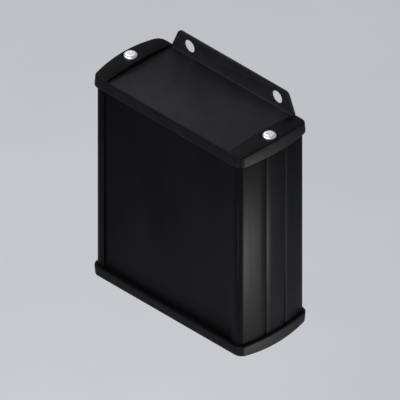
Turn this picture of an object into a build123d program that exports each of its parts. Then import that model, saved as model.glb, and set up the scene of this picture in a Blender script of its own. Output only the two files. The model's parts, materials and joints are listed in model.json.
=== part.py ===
"""Wall-mounted cellular signal booster in an extruded aluminium case.

Frame: +Z up along the extrusion, front towards -Y, wall towards +Y. The origin is the centre of
the four wall holes, on the wall plane. All sizes are in millimetres.
"""
import os
from math import cos, radians, sin, sqrt

from build123d import *

os.makedirs("parts", exist_ok=True)

# ---- Case outline, seen along Z ----
CASE_W = 100.0            # over the bowed short sides of the end caps
CASE_D = 44.5             # front of the caps to the wall plane
BOW_RISE = 2.3            # how far each short side bows out
CORNER_R = 4.5
OVERHANG = 1.4            # the caps stand this far out past the extrusion
MID_Y = -CASE_D / 2

# ---- Levels above the middle of the case ----
CAP_EDGE_Z = 55.0         # straight front and back edges of a cap
ARCH_RISE = 1.85          # extra height of a cap at mid depth
CREST_R = 0.7
LIP_R = 0.7               # rounded lip at the skirt's open end
CREST_INSET = 0.5         # a cap's outer walls lean in by this much towards its crest
PLATE_TOP_Z = 54.3
PLATE_T = 1.0
PLATE_LOW_Z = PLATE_TOP_Z - PLATE_T
GASKET_T = 0.8
CASE_END_Z = PLATE_LOW_Z - GASKET_T
SKIRT_Z = 49.8            # open end of a cap's skirt

# ---- Extrusion ----
WALL = 1.6
SIDE_WALL = 1.8
RECESS = 1.1              # the broad faces are set back between the corner posts
RECESS_HALF_W = 41.0
CAVITY_CORNER_R = 2.5
RIB_REACH = 3.6           # ribs that hold the board's edges
RIB_T = 1.2
RIB_PITCH = 3.0
GROOVE_OFFSET = 6.1
GROOVE_W = 1.0
GROOVE_DEEP = 0.7
BODY_HALF_W = CASE_W / 2 - OVERHANG
BODY_FRONT_Y = -CASE_D + OVERHANG
BODY_BACK_Y = -OVERHANG
INNER_FRONT_Y = BODY_FRONT_Y + RECESS + WALL
INNER_BACK_Y = BODY_BACK_Y - RECESS - WALL
INNER_HALF_W = BODY_HALF_W - SIDE_WALL

# ---- Cap screws, number 6 pan heads ----
SCREW_X = CASE_W / 2 - 5.3
SCREW_R = 1.5
SCREW_HEAD_R = 3.4
SCREW_HEAD_T = 2.4
SCREW_SEAT_Z = 55.6
SCREW_LENGTH = 14.0
BOSS_R = 3.3
BOSS_BORE_R = 1.55

# ---- End caps and flanged plates ----
BLOCK_W = 10.55           # width of the solid block at each end of a cap
WINDOW_HALF_W = CASE_W / 2 - BLOCK_W
SLOT_DEEP = 2.0           # the blocks grip the plate's edges by this much
RIM_W = 1.4
FLANGE_H = 11.0
FLANGE_HALF_W = 39.35
FLANGE_TIP_HALF_W = 35.0
FLANGE_CORNER_R = 2.6
BEND_R = 0.8              # inside radius of the bend
WALL_HOLE_R = 3.25
WALL_HOLE_X = 28.2
WALL_HOLE_RISE = 5.1      # hole centre above the plate
FIT_GAP = 0.15
SCREW_GAP = 0.4           # round a cap screw's shank

# ---- Board and the line of controls on the lower plate ----
BOARD_FACE_Y = -11.7      # component side
BOARD_T = 1.6
BOARD_BACK_Y = BOARD_FACE_Y + BOARD_T
BOARD_HALF_W = 45.6
BOARD_LOW_Z = -50.5
BOARD_TOP_Z = 46.0
PORT_Y = -18.7            # axis of every connector and control
PLATE_IN_Z = -PLATE_LOW_Z    # inner face of the lower plate
PLATE_OUT_Z = -PLATE_TOP_Z   # outer face of the lower plate

# ---- Radio jacks: M8 panel thread, then a 1/4-36 coupling thread ----
JACK_X = 32.0
JACK_PANEL_R = 4.0
JACK_STEP_Z = -57.4       # end of the panel thread, just past the nut
JACK_R = 3.175
JACK_END_Z = -65.7
JACK_BORE_R = 2.3
JACK_BLOCK_HALF = 4.6
JACK_BLOCK_TOP_Z = -43.5
JACK_CORE_Z = -45.5
JACK_TURN_Z = -47.1       # where the contact turns towards the board
JACK_TURN_R = 1.5
CONTACT_R = 0.65
CONTACT_TAIL_R = 0.45
CONTACT_BORE_DEEP = 3.0
WASHER_R = 5.4
WASHER_T = 0.5
NUT_T = 2.2
NUT_HOLE_R = 4.05
JACK_NUT_FLATS = 10.0

# ---- Direct current inlet for a 5.5 / 2.1 plug ----
POWER_X = -17.0
POWER_NOSE_R = 4.2
POWER_BORE_R = 3.1
POWER_BORE_DEEP = 9.5
POWER_PIN_R = 1.0
POWER_END_Z = -56.0
POWER_HALF_W = 4.6
POWER_TOP_Z = -40.5
POWER_TAG_HALF_W = 1.2
POWER_TAG_T = 0.5

# ---- Rocker switch ----
ROCKER_PIVOT_Z = -53.0
ROCKER_TILT = 12.0
ROCKER_END_R = 5.3
ROCKER_HALF_Y = 3.0
PIVOT_R = 0.9
PIVOT_CLEARANCE = 0.05
PIVOT_REACH = 3.95
SWITCH_HALF_X = 6.5
SWITCH_HALF_Y = 4.4
SWITCH_LIP = 0.9
SWITCH_LIP_T = 1.0
SWITCH_TOP_Z = -43.5
SWITCH_POCKET_HALF_X = 5.6
SWITCH_POCKET_HALF_Y = 3.3
SWITCH_POCKET_Z = -48.2
ROCKER_PROFILE = ((-6, -1.5), (6, -1.5), (6, 2.85), (0, 1.9), (-6, 2.85))
TERMINAL_X = 3.5
TERMINAL_HALF_W = 1.2
TERMINAL_T = 0.6
TERMINAL_RISE = 3.5

# ---- Gain control ----
GAIN_X = 19.0
GAIN_SHAFT_R = 3.0
GAIN_BUSH_R = 3.9
GAIN_BUSH_END_Z = -57.2
GAIN_NUT_FLATS = 10.0
GAIN_KNOB_R = 5.5
GAIN_KNOB_NEAR_Z = -57.9
GAIN_KNOB_FAR_Z = -66.6
GAIN_KNOB_TAPER = 3
GAIN_KNOB_SKIN = 2.0      # knob material past the shaft's end
GAIN_MARK_HALF_W = 0.4
GAIN_MARK_DEEP = 0.5
GAIN_POT_HALF_W = 4.9
GAIN_POT_DEEP = 5.2
GAIN_POT_H = 7.0
GAIN_SHAFT_TOP_Z = -50.4
GAIN_NUT_T = 2.0

# ---- Status light ----
LIGHT_X = 10.3
LIGHT_R = 1.5
LIGHT_HOLDER_HALF_W = 2.2
LIGHT_HOLDER_LOW_Z = -50.4
LIGHT_HOLDER_TOP_Z = -44.5
LIGHT_BASE_Z = -47.5
LIGHT_STAND = 0.9         # the lens stands this far out of the plate

# ---- Heat path to the back wall ----
PAD_T = 1.0
SPREADER_HALF_W = 42.0
SPREADER_LOW_Z = -8.0
SPREADER_TOP_Z = 42.0
SPREADER_SCREW_X = 39.8
SPREADER_SCREW_ZS = (-5.5, 39.5)
SPREADER_SCREW_R = 1.0
SPREADER_SCREW_HEAD_R = 1.9
SPREADER_SCREW_HEAD_T = 1.4
SPREADER_SCREW_DEEP = 3.5
SPREADER_TAP_DEEP = 4.0
POCKET_NEAR_X = 6.0       # pockets over the board's back-side solder
POCKET_FAR_X = 34.0
POCKET_TOP_Z = 6.0
POCKET_DEEP = 2.0

# ---- Shield cans over the two amplifier chains ----
CAN_X = 20.0
CAN_W = 34.0
CAN_LOW_Z = -6.0
CAN_TOP_Z = 38.0
CAN_H = 5.0
CAN_WALL = 0.3
LID_T = 0.25
LID_SKIRT = 2.0
LID_HOLE_R = 0.8
FENCE_GATE_HALF_W = 6.0   # opening in the fence's middle wall for the signal line
FENCE_GATE_H = 2.5

# ---- Parts on the board: places are (x, z) and sizes are width, length, height ----
LEAD_PITCH = 0.8
LEAD_REACH = 0.8
LEAD_W = 0.4
LEAD_T = 0.25
AMPLIFIER_SIZE = (5.0, 5.0, 1.0)
AMPLIFIER_STEPS = (-9, 9)
AMPLIFIER_Z = 4.0
FILTER_SIZE = (3.0, 3.8, 1.2)
FILTER_STEPS = (-11, -4, 4, 11)
FILTER_Z = 26.0
ATTENUATOR_SIZE = (3.0, 3.0, 0.8)
ATTENUATOR_STEPS = (-8, 0, 8)
ATTENUATOR_Z = 32.5
DUPLEXER_SIZE = (6.0, 9.0, 2.5)
DUPLEXER_XS = (29.5, 37.5)
DUPLEXER_ZS = (-32, -17)
INDUCTOR_LOW = (-7.0, -29.0)
INDUCTOR_HIGH = (1.0, -21.0)
INDUCTOR_H = 4.5
CAPACITOR_PLACES = ((-14, -29), (-4, -13))
CAPACITOR_BASE = 6.6
CAPACITOR_BASE_H = 1.0
CAPACITOR_R = 3.1
CAPACITOR_H = 6.2

ENDS = (("top", 1), ("bottom", -1))


def save(builder, name):
    """Labels a finished piece and writes its STEP file."""
    builder.part.label = name
    export_step(builder.part, f"parts/{name}.step")


def bowed_face(half_w, front_y, back_y, corner_r):
    """The case outline: straight front and back, bowed short sides, rounded corners."""
    side_x = half_w - BOW_RISE
    middle = (front_y + back_y) / 2
    with BuildSketch() as outline:
        with BuildLine():
            Line((-side_x, front_y), (side_x, front_y))
            ThreePointArc((side_x, front_y), (half_w, middle), (side_x, back_y))
            Line((side_x, back_y), (-side_x, back_y))
            ThreePointArc((-side_x, back_y), (-half_w, middle), (-side_x, front_y))
        make_face()
        fillet(outline.vertices(), corner_r)
    return outline.sketch


def case_profile(clearance):
    """Outer profile of the extrusion, with both broad faces set back, grown by a clearance."""
    recess_y = CASE_D / 2 - OVERHANG - RECESS / 2 + clearance
    corner_r = CORNER_R - OVERHANG + clearance
    with BuildSketch() as profile:
        add(bowed_face(BODY_HALF_W + clearance, BODY_FRONT_Y - clearance,
                       BODY_BACK_Y + clearance, corner_r))
        with Locations((0, MID_Y - recess_y), (0, MID_Y + recess_y)):
            Rectangle(2 * (RECESS_HALF_W - clearance), RECESS, mode=Mode.SUBTRACT)
    return profile.sketch


def cavity_face():
    """Inner wall of the extrusion."""
    return bowed_face(INNER_HALF_W, INNER_FRONT_Y, INNER_BACK_Y, CAVITY_CORNER_R)


def box_between(low, high, mode=Mode.ADD):
    """A box in the part under construction, from its lowest to its highest corner."""
    size = [upper - lower for lower, upper in zip(low, high)]
    with Locations(tuple(low)):
        Box(*size, align=(Align.MIN, Align.MIN, Align.MIN), mode=mode)


def round_bar(radius, x, y, near_z, far_z, mode=Mode.ADD):
    """A cylinder along Z in the part under construction."""
    base = (Align.CENTER, Align.CENTER, Align.MIN)
    with Locations((x, y, min(near_z, far_z))):
        Cylinder(radius, abs(far_z - near_z), align=base, mode=mode)


def bore(radius, x, near_z, far_z):
    """A hole along Z, on the line of the connectors and controls."""
    round_bar(radius, x, PORT_Y, near_z, far_z, mode=Mode.SUBTRACT)


def facing_wall(x, y, z):
    """A sketch plane through a point, with its normal towards the wall."""
    return Plane(origin=(x, y, z), x_dir=(1, 0, 0), z_dir=(0, 1, 0))


def edges_below(builder, level):
    """Edges whose centres are lower than a level."""
    return [edge for edge in builder.edges() if edge.center().Z < level]


# ---- Extruded case ----
with BuildPart() as body_extrusion:
    with BuildSketch(Plane.XY.offset(-CASE_END_Z)):
        add(case_profile(0))
        add(cavity_face(), mode=Mode.SUBTRACT)
        with Locations((-SCREW_X, MID_Y), (SCREW_X, MID_Y)):
            Circle(BOSS_R)
        for slot_y in (BOARD_FACE_Y + BOARD_T / 2, -CASE_D - BOARD_FACE_Y - BOARD_T / 2):
            for rib_y in (slot_y - RIB_PITCH / 2, slot_y + RIB_PITCH / 2):
                with Locations((-INNER_HALF_W + 1.4, rib_y), (INNER_HALF_W - 1.4, rib_y)):
                    Rectangle(RIB_REACH, RIB_T)
        for side in (-1, 1):
            for groove in (-1, 1):
                groove_x = side * (BODY_HALF_W - GROOVE_DEEP + 1.0)
                with Locations((groove_x, MID_Y + groove * GROOVE_OFFSET)):
                    Rectangle(2.0, GROOVE_W, mode=Mode.SUBTRACT)
        with Locations((-SCREW_X, MID_Y), (SCREW_X, MID_Y)):
            Circle(BOSS_BORE_R, mode=Mode.SUBTRACT)
    extrude(amount=2 * CASE_END_Z)
save(body_extrusion, "body_extrusion")


# ---- End caps: a frame with an arched block at each end ----
def make_cap(side):
    """The frame that closes one end of the case; side is +1 for the top and -1 for the bottom."""
    reach = CASE_D / 2 + 1
    arch_r = (CASE_D ** 2 / 4 + ARCH_RISE ** 2) / (2 * ARCH_RISE)
    reach_z = CAP_EDGE_Z + ARCH_RISE - arch_r + sqrt(arch_r ** 2 - reach ** 2)
    front = (MID_Y - reach, side * reach_z)
    crown = (MID_Y, side * (CAP_EDGE_Z + ARCH_RISE))
    back = (MID_Y + reach, side * reach_z)
    with BuildPart() as cap:
        with BuildSketch(Plane.XY.offset(side * SKIRT_Z)):
            add(bowed_face(CASE_W / 2, -CASE_D, 0, CORNER_R))
        with BuildSketch(Plane.XY.offset(side * (CAP_EDGE_Z + ARCH_RISE))):
            add(bowed_face(CASE_W / 2 - CREST_INSET, -CASE_D + CREST_INSET,
                           -CREST_INSET, CORNER_R - CREST_INSET))
        loft()
        with BuildSketch(Plane.YZ.offset(-CASE_W / 2 - 1)):
            with BuildLine():
                ThreePointArc(front, crown, back)
                Polyline(
                    back,
                    (back[0], side * (SKIRT_Z - 1)),
                    (front[0], side * (SKIRT_Z - 1)),
                    front,
                )
            make_face()
        extrude(amount=CASE_W + 2, mode=Mode.INTERSECT)
        fillet([e for e in cap.edges() if side * e.center().Z > CAP_EDGE_Z - 0.5], CREST_R)
        fillet([e for e in cap.edges() if side * e.center().Z < SKIRT_Z + 0.01], LIP_R)
        with BuildSketch(Plane.XY.offset(side * SKIRT_Z)):
            add(case_profile(FIT_GAP))
        extrude(amount=side * (PLATE_LOW_Z - SKIRT_Z), mode=Mode.SUBTRACT)
        edge_x = WINDOW_HALF_W + SLOT_DEEP
        rim_y = -CASE_D + RIM_W
        sky = CAP_EDGE_Z + 5
        cuts = (
            ((-edge_x, rim_y, PLATE_LOW_Z), (edge_x, 1, PLATE_TOP_Z)),
            ((-WINDOW_HALF_W, rim_y, PLATE_LOW_Z), (WINDOW_HALF_W, 1, sky)),
        )
        for low, high in cuts:
            near_z, far_z = sorted((side * low[2], side * high[2]))
            box_between((low[0], low[1], near_z), (high[0], high[1], far_z), mode=Mode.SUBTRACT)
        for x in (-SCREW_X, SCREW_X):
            for radius, level in ((SCREW_R + SCREW_GAP, SKIRT_Z), (SCREW_HEAD_R + 0.45, SCREW_SEAT_Z)):
                round_bar(radius, x, MID_Y, side * level, side * sky, mode=Mode.SUBTRACT)
    return cap


# ---- Sheet end plates, bent out along the back edge into a wall flange ----
def make_plate(side):
    """One flanged plate; side is +1 for the top and -1 for the bottom."""
    edge_x = WINDOW_HALF_W + SLOT_DEEP - 0.1
    front_y = -CASE_D + RIM_W + 0.1
    bend = BEND_R + PLATE_T
    base_z = PLATE_LOW_Z + bend
    tip_z = PLATE_TOP_Z + FLANGE_H
    with BuildPart() as plate:
        with BuildSketch(Plane.XY.offset(side * PLATE_LOW_Z)):
            with Locations((0, (front_y - bend) / 2)):
                Rectangle(2 * edge_x, -bend - front_y)
        extrude(amount=side * PLATE_T)
        with BuildSketch(Plane.YZ.offset(-FLANGE_HALF_W)):
            with BuildLine():
                centre = (-bend, side * base_z)
                start, end = (180 + 90, 90) if side > 0 else (0, 90)
                CenterArc(centre, bend, start, end)
                CenterArc(centre, BEND_R, start, end)
                Line((-bend, side * PLATE_LOW_Z), (-bend, side * PLATE_TOP_Z))
                Line((0, side * base_z), (-PLATE_T, side * base_z))
            make_face()
        extrude(amount=2 * FLANGE_HALF_W)
        with BuildSketch(Plane.XZ.offset(0)) as flange:
            Polygon(
                (-FLANGE_HALF_W, side * base_z),
                (FLANGE_HALF_W, side * base_z),
                (FLANGE_TIP_HALF_W, side * tip_z),
                (-FLANGE_TIP_HALF_W, side * tip_z),
                align=None,
            )
            tips = [v for v in flange.vertices() if side * v.Y > base_z + 1]
            fillet(tips, FLANGE_CORNER_R)
            with Locations(
                (-WALL_HOLE_X, side * (PLATE_TOP_Z + WALL_HOLE_RISE)),
                (WALL_HOLE_X, side * (PLATE_TOP_Z + WALL_HOLE_RISE)),
            ):
                Circle(WALL_HOLE_R, mode=Mode.SUBTRACT)
        extrude(amount=PLATE_T)
        if side < 0:
            holes = (
                (JACK_PANEL_R + 0.1, -JACK_X),
                (JACK_PANEL_R + 0.1, JACK_X),
                (POWER_NOSE_R + 0.15, POWER_X),
                (GAIN_BUSH_R + 0.1, GAIN_X),
                (LIGHT_R + 0.1, LIGHT_X),
            )
            for radius, x in holes:
                bore(radius, x, PLATE_IN_Z + 1, PLATE_OUT_Z - 1)
            box_between(
                (-SWITCH_HALF_X - 0.1, PORT_Y - SWITCH_HALF_Y - 0.1, PLATE_OUT_Z - 1),
                (SWITCH_HALF_X + 0.1, PORT_Y + SWITCH_HALF_Y + 0.1, PLATE_IN_Z + 1),
                mode=Mode.SUBTRACT,
            )
    return plate


# ---- Gaskets between the extrusion's cut ends and the plates ----
def make_gasket(side):
    """Foam ring with an eye round each cap screw."""
    with BuildPart() as gasket:
        with BuildSketch(Plane.XY.offset(side * CASE_END_Z)):
            add(case_profile(-0.2))
            add(cavity_face(), mode=Mode.SUBTRACT)
            with Locations((-SCREW_X, MID_Y), (SCREW_X, MID_Y)):
                Circle(BOSS_R)
                Circle(SCREW_R + SCREW_GAP, mode=Mode.SUBTRACT)
        extrude(amount=side * GASKET_T)
    return gasket


# ---- Cap screws: a domed pan head with a cross recess on a plain shank ----
def make_cap_screws(side):
    """The pair of self-tapping screws at one end of the case."""
    tip_z = SCREW_SEAT_Z - SCREW_LENGTH
    with BuildPart() as screws:
        for x in (-SCREW_X, SCREW_X):
            with BuildSketch(Plane(origin=(x, MID_Y, 0), x_dir=(1, 0, 0), z_dir=(0, -1, 0))):
                with BuildLine():
                    Polyline(
                        (0, side * tip_z),
                        (SCREW_R - 0.5, side * tip_z),
                        (SCREW_R, side * (tip_z + 1)),
                        (SCREW_R, side * SCREW_SEAT_Z),
                        (SCREW_HEAD_R, side * SCREW_SEAT_Z),
                        (SCREW_HEAD_R, side * (SCREW_SEAT_Z + 0.9)),
                    )
                    ThreePointArc(
                        (SCREW_HEAD_R, side * (SCREW_SEAT_Z + 0.9)),
                        (SCREW_HEAD_R * 0.68, side * (SCREW_SEAT_Z + 1.95)),
                        (0, side * (SCREW_SEAT_Z + SCREW_HEAD_T)),
                    )
                    Line((0, side * (SCREW_SEAT_Z + SCREW_HEAD_T)), (0, side * tip_z))
                make_face()
            revolve(axis=Axis((x, MID_Y, 0), (0, 0, 1)))
            with BuildSketch(Plane.XY.offset(side * (SCREW_SEAT_Z + SCREW_HEAD_T))):
                with Locations((x, MID_Y)):
                    Rectangle(3.6, 0.8, rotation=45)
                    Rectangle(0.8, 3.6, rotation=45)
            extrude(amount=-side * 1.5, mode=Mode.SUBTRACT)
    return screws


for end_name, end_side in ENDS:
    save(make_cap(end_side), f"{end_name}_cap_frame")
    save(make_plate(end_side), f"{end_name}_end_plate")
    save(make_gasket(end_side), f"{end_name}_gasket")
    save(make_cap_screws(end_side), f"{end_name}_cap_screws")


# ---- Radio jacks: right-angle board mount, threaded nose through the lower plate ----
def hex_nut(name, flats, hole_r, x, near_z, thickness):
    """A hexagon nut on a threaded nose, chamfered on its outer face."""
    with BuildPart() as nut:
        with BuildSketch(Plane.XY.offset(near_z)):
            with Locations((x, PORT_Y)):
                RegularPolygon(flats / 2, 6, major_radius=False)
                Circle(hole_r, mode=Mode.SUBTRACT)
        extrude(amount=-thickness)
        outer_z = near_z - thickness + 0.01
        chamfer([e for e in nut.edges().filter_by(GeomType.LINE) if e.center().Z < outer_z], 0.25)
    save(nut, name)


def radio_jack(port, x):
    """The five pieces of one jack."""
    block_half = JACK_BLOCK_HALF
    with BuildPart() as shell:
        box_between(
            (x - block_half, PORT_Y - block_half, PLATE_IN_Z + 1),
            (x + block_half, BOARD_FACE_Y, JACK_BLOCK_TOP_Z),
        )
        fillet(shell.edges().filter_by(Axis.Z), 0.4)
        round_bar(block_half, x, PORT_Y, PLATE_IN_Z + 1, PLATE_IN_Z)
        round_bar(JACK_PANEL_R, x, PORT_Y, PLATE_IN_Z + 1, JACK_STEP_Z)
        chamfer(edges_below(shell, JACK_STEP_Z + 0.01), 0.3)
        round_bar(JACK_R, x, PORT_Y, JACK_STEP_Z + 1, JACK_END_Z)
        chamfer(edges_below(shell, JACK_END_Z + 0.01), 0.4)
        bore(JACK_BORE_R, x, JACK_END_Z - 1, JACK_CORE_Z)
        with BuildSketch(facing_wall(x, BOARD_FACE_Y, JACK_TURN_Z)):
            Circle(JACK_TURN_R)
        extrude(amount=PORT_Y - BOARD_FACE_Y, mode=Mode.SUBTRACT)
    save(shell, f"{port}_jack_shell")
    with BuildPart() as insulator:
        round_bar(JACK_BORE_R, x, PORT_Y, JACK_END_Z, PLATE_IN_Z)
        bore(CONTACT_R, x, JACK_END_Z - 1, PLATE_IN_Z + 1)
    save(insulator, f"{port}_jack_insulator")
    with BuildPart() as contact:
        round_bar(CONTACT_R, x, PORT_Y, JACK_END_Z + 0.1, JACK_TURN_Z)
        bore(CONTACT_TAIL_R, x, JACK_END_Z, JACK_END_Z + CONTACT_BORE_DEEP)
        with BuildSketch(facing_wall(x, PORT_Y, JACK_TURN_Z)):
            Circle(CONTACT_TAIL_R)
        extrude(amount=BOARD_FACE_Y - PORT_Y)
    save(contact, f"{port}_jack_contact")
    with BuildPart() as washer:
        with BuildSketch(Plane.XY.offset(PLATE_OUT_Z)):
            with Locations((x, PORT_Y)):
                Circle(WASHER_R)
                Circle(NUT_HOLE_R, mode=Mode.SUBTRACT)
        extrude(amount=-WASHER_T)
    save(washer, f"{port}_jack_washer")
    hex_nut(f"{port}_jack_nut", JACK_NUT_FLATS, NUT_HOLE_R, x, PLATE_OUT_Z - WASHER_T, NUT_T)


radio_jack("donor", -JACK_X)
radio_jack("server", JACK_X)


# ---- Power inlet: moulded housing and centre pin ----
with BuildPart() as power_inlet_housing:
    box_between(
        (POWER_X - POWER_HALF_W, PORT_Y - POWER_HALF_W, PLATE_IN_Z),
        (POWER_X + POWER_HALF_W, BOARD_FACE_Y, POWER_TOP_Z),
    )
    fillet(power_inlet_housing.edges().filter_by(Axis.Z), 0.6)
    round_bar(POWER_NOSE_R, POWER_X, PORT_Y, PLATE_IN_Z + 1, POWER_END_Z)
    fillet(edges_below(power_inlet_housing, POWER_END_Z + 0.01), 0.4)
    bore(POWER_BORE_R, POWER_X, POWER_END_Z - 1, POWER_END_Z + POWER_BORE_DEEP)
    bore(POWER_PIN_R, POWER_X, POWER_END_Z, POWER_TOP_Z)
save(power_inlet_housing, "power_inlet_housing")

with BuildPart() as power_inlet_pin:
    round_bar(POWER_PIN_R, POWER_X, PORT_Y, POWER_END_Z + 1.0, POWER_TOP_Z)
    fillet(edges_below(power_inlet_pin, POWER_END_Z + 1.01), 0.6)
    box_between(
        (POWER_X - POWER_TAG_HALF_W, PORT_Y - POWER_TAG_HALF_W, POWER_TOP_Z),
        (POWER_X + POWER_TAG_HALF_W, BOARD_FACE_Y, POWER_TOP_Z + POWER_TAG_T),
    )
save(power_inlet_pin, "power_inlet_pin")


# ---- Rocker switch, pivoting on its own trunnions in the housing walls ----
with BuildPart() as switch_housing:
    box_between(
        (-SWITCH_HALF_X, PORT_Y - SWITCH_HALF_Y, PLATE_OUT_Z),
        (SWITCH_HALF_X, PORT_Y + SWITCH_HALF_Y, SWITCH_TOP_Z),
    )
    box_between(
        (-SWITCH_HALF_X - SWITCH_LIP, PORT_Y - SWITCH_HALF_Y - SWITCH_LIP, PLATE_OUT_Z - SWITCH_LIP_T),
        (SWITCH_HALF_X + SWITCH_LIP, PORT_Y + SWITCH_HALF_Y + SWITCH_LIP, PLATE_OUT_Z),
    )
    chamfer(edges_below(switch_housing, PLATE_OUT_Z - SWITCH_LIP_T + 0.01), 0.4)
    box_between(
        (-SWITCH_POCKET_HALF_X, PORT_Y - SWITCH_POCKET_HALF_Y, PLATE_OUT_Z - SWITCH_LIP_T - 1),
        (SWITCH_POCKET_HALF_X, PORT_Y + SWITCH_POCKET_HALF_Y, SWITCH_POCKET_Z),
        mode=Mode.SUBTRACT,
    )
    with BuildSketch(facing_wall(0, PORT_Y - PIVOT_REACH - 0.1, ROCKER_PIVOT_Z)):
        Circle(PIVOT_R + PIVOT_CLEARANCE)
    extrude(amount=2 * PIVOT_REACH + 0.2, mode=Mode.SUBTRACT)
save(switch_housing, "switch_housing")

rocker_side = Plane(
    origin=(0, PORT_Y, ROCKER_PIVOT_Z),
    x_dir=(cos(radians(ROCKER_TILT)), 0, sin(radians(ROCKER_TILT))),
    z_dir=(0, 1, 0),
)
with BuildPart() as switch_rocker:
    with BuildSketch(rocker_side):
        Circle(ROCKER_END_R)
        Polygon(*ROCKER_PROFILE, align=None, mode=Mode.INTERSECT)
    extrude(amount=ROCKER_HALF_Y, both=True)
    with BuildSketch(rocker_side):
        Circle(PIVOT_R)
    extrude(amount=PIVOT_REACH, both=True)
save(switch_rocker, "switch_rocker")

with BuildPart() as switch_terminals:
    top_z = SWITCH_TOP_Z + TERMINAL_RISE
    for x in (-TERMINAL_X, TERMINAL_X):
        low_x = x - TERMINAL_HALF_W
        high_x = x + TERMINAL_HALF_W
        low_y = PORT_Y - TERMINAL_T / 2
        box_between((low_x, low_y, SWITCH_TOP_Z), (high_x, low_y + TERMINAL_T, top_z))
        box_between((low_x, low_y, top_z - TERMINAL_T), (high_x, BOARD_FACE_Y, top_z))
save(switch_terminals, "switch_terminals")


# ---- Gain control: potentiometer, nut, turning shaft and knob ----
with BuildPart() as gain_pot_body:
    box_between(
        (GAIN_X - GAIN_POT_HALF_W, PORT_Y - GAIN_POT_DEEP, PLATE_IN_Z),
        (GAIN_X + GAIN_POT_HALF_W, BOARD_FACE_Y, PLATE_IN_Z + GAIN_POT_H),
    )
    fillet(gain_pot_body.edges().filter_by(Axis.Z), 0.5)
    round_bar(GAIN_BUSH_R, GAIN_X, PORT_Y, PLATE_IN_Z + 1, GAIN_BUSH_END_Z)
    chamfer(edges_below(gain_pot_body, GAIN_BUSH_END_Z + 0.01), 0.3)
    bore(GAIN_SHAFT_R + 0.05, GAIN_X, GAIN_BUSH_END_Z - 1, GAIN_SHAFT_TOP_Z + 0.1)
save(gain_pot_body, "gain_pot_body")

hex_nut("gain_pot_nut", GAIN_NUT_FLATS, GAIN_BUSH_R + 0.05, GAIN_X, PLATE_OUT_Z, GAIN_NUT_T)

with BuildPart() as gain_shaft:
    round_bar(GAIN_SHAFT_R, GAIN_X, PORT_Y, GAIN_SHAFT_TOP_Z, GAIN_KNOB_FAR_Z + GAIN_KNOB_SKIN)
save(gain_shaft, "gain_shaft")

with BuildPart() as gain_knob:
    with BuildSketch(Plane.XY.offset(GAIN_KNOB_NEAR_Z)):
        with Locations((GAIN_X, PORT_Y)):
            Circle(GAIN_KNOB_R)
    extrude(amount=GAIN_KNOB_FAR_Z - GAIN_KNOB_NEAR_Z, taper=GAIN_KNOB_TAPER)
    fillet(edges_below(gain_knob, GAIN_KNOB_FAR_Z + 0.01), 0.5)
    bore(GAIN_SHAFT_R, GAIN_X, GAIN_KNOB_NEAR_Z + 1, GAIN_KNOB_FAR_Z + GAIN_KNOB_SKIN)
    box_between(
        (GAIN_X - GAIN_MARK_HALF_W, PORT_Y - GAIN_KNOB_R - 1, GAIN_KNOB_FAR_Z - 1),
        (GAIN_X + GAIN_MARK_HALF_W, PORT_Y - 1.0, GAIN_KNOB_FAR_Z + GAIN_MARK_DEEP),
        mode=Mode.SUBTRACT,
    )
save(gain_knob, "gain_knob")


# ---- Status light in its right-angle holder ----
with BuildPart() as status_light_holder:
    box_between(
        (LIGHT_X - LIGHT_HOLDER_HALF_W, PORT_Y - LIGHT_HOLDER_HALF_W, LIGHT_HOLDER_LOW_Z),
        (LIGHT_X + LIGHT_HOLDER_HALF_W, BOARD_FACE_Y, LIGHT_HOLDER_TOP_Z),
    )
    bore(LIGHT_R, LIGHT_X, LIGHT_HOLDER_LOW_Z - 1, LIGHT_BASE_Z)
save(status_light_holder, "status_light_holder")

with BuildPart() as status_light:
    round_bar(LIGHT_R, LIGHT_X, PORT_Y, LIGHT_BASE_Z, PLATE_OUT_Z - LIGHT_STAND)
    fillet(edges_below(status_light, PLATE_OUT_Z - LIGHT_STAND + 0.01), LIGHT_R - 0.05)
save(status_light, "status_light")


# ---- Main board ----
with BuildPart() as main_board:
    box_between((-BOARD_HALF_W, BOARD_FACE_Y, BOARD_LOW_Z), (BOARD_HALF_W, BOARD_BACK_Y, BOARD_TOP_Z))
    chamfer(main_board.edges().filter_by(Axis.Y), 0.8)
    for x in (-SPREADER_SCREW_X, SPREADER_SCREW_X):
        for z in SPREADER_SCREW_ZS:
            with BuildSketch(facing_wall(x, BOARD_FACE_Y, z)):
                Circle(SPREADER_SCREW_R + 0.2)
            extrude(amount=BOARD_T, mode=Mode.SUBTRACT)
save(main_board, "main_board")

with BuildPart() as board_bumpers:
    for x in (-BOARD_HALF_W + 2.5, BOARD_HALF_W - 2.5):
        box_between((x - 2.2, BOARD_FACE_Y, BOARD_TOP_Z), (x + 2.2, BOARD_BACK_Y, PLATE_LOW_Z))
save(board_bumpers, "board_bumpers")


# ---- Heat spreader, its gap pad and its screws ----
spreader_back_y = INNER_BACK_Y - PAD_T
with BuildPart() as heat_spreader:
    box_between(
        (-SPREADER_HALF_W, BOARD_BACK_Y, SPREADER_LOW_Z),
        (SPREADER_HALF_W, spreader_back_y, SPREADER_TOP_Z),
    )
    chamfer(heat_spreader.edges().filter_by(Axis.Y), 1.5)
    for low_x, high_x in ((-POCKET_FAR_X, -POCKET_NEAR_X), (POCKET_NEAR_X, POCKET_FAR_X)):
        box_between(
            (low_x, BOARD_BACK_Y, SPREADER_LOW_Z - 1),
            (high_x, BOARD_BACK_Y + POCKET_DEEP, POCKET_TOP_Z),
            mode=Mode.SUBTRACT,
        )
    for x in (-SPREADER_SCREW_X, SPREADER_SCREW_X):
        for z in SPREADER_SCREW_ZS:
            with BuildSketch(facing_wall(x, BOARD_BACK_Y, z)):
                Circle(SPREADER_SCREW_R)
            extrude(amount=SPREADER_TAP_DEEP, mode=Mode.SUBTRACT)
save(heat_spreader, "heat_spreader")

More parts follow.
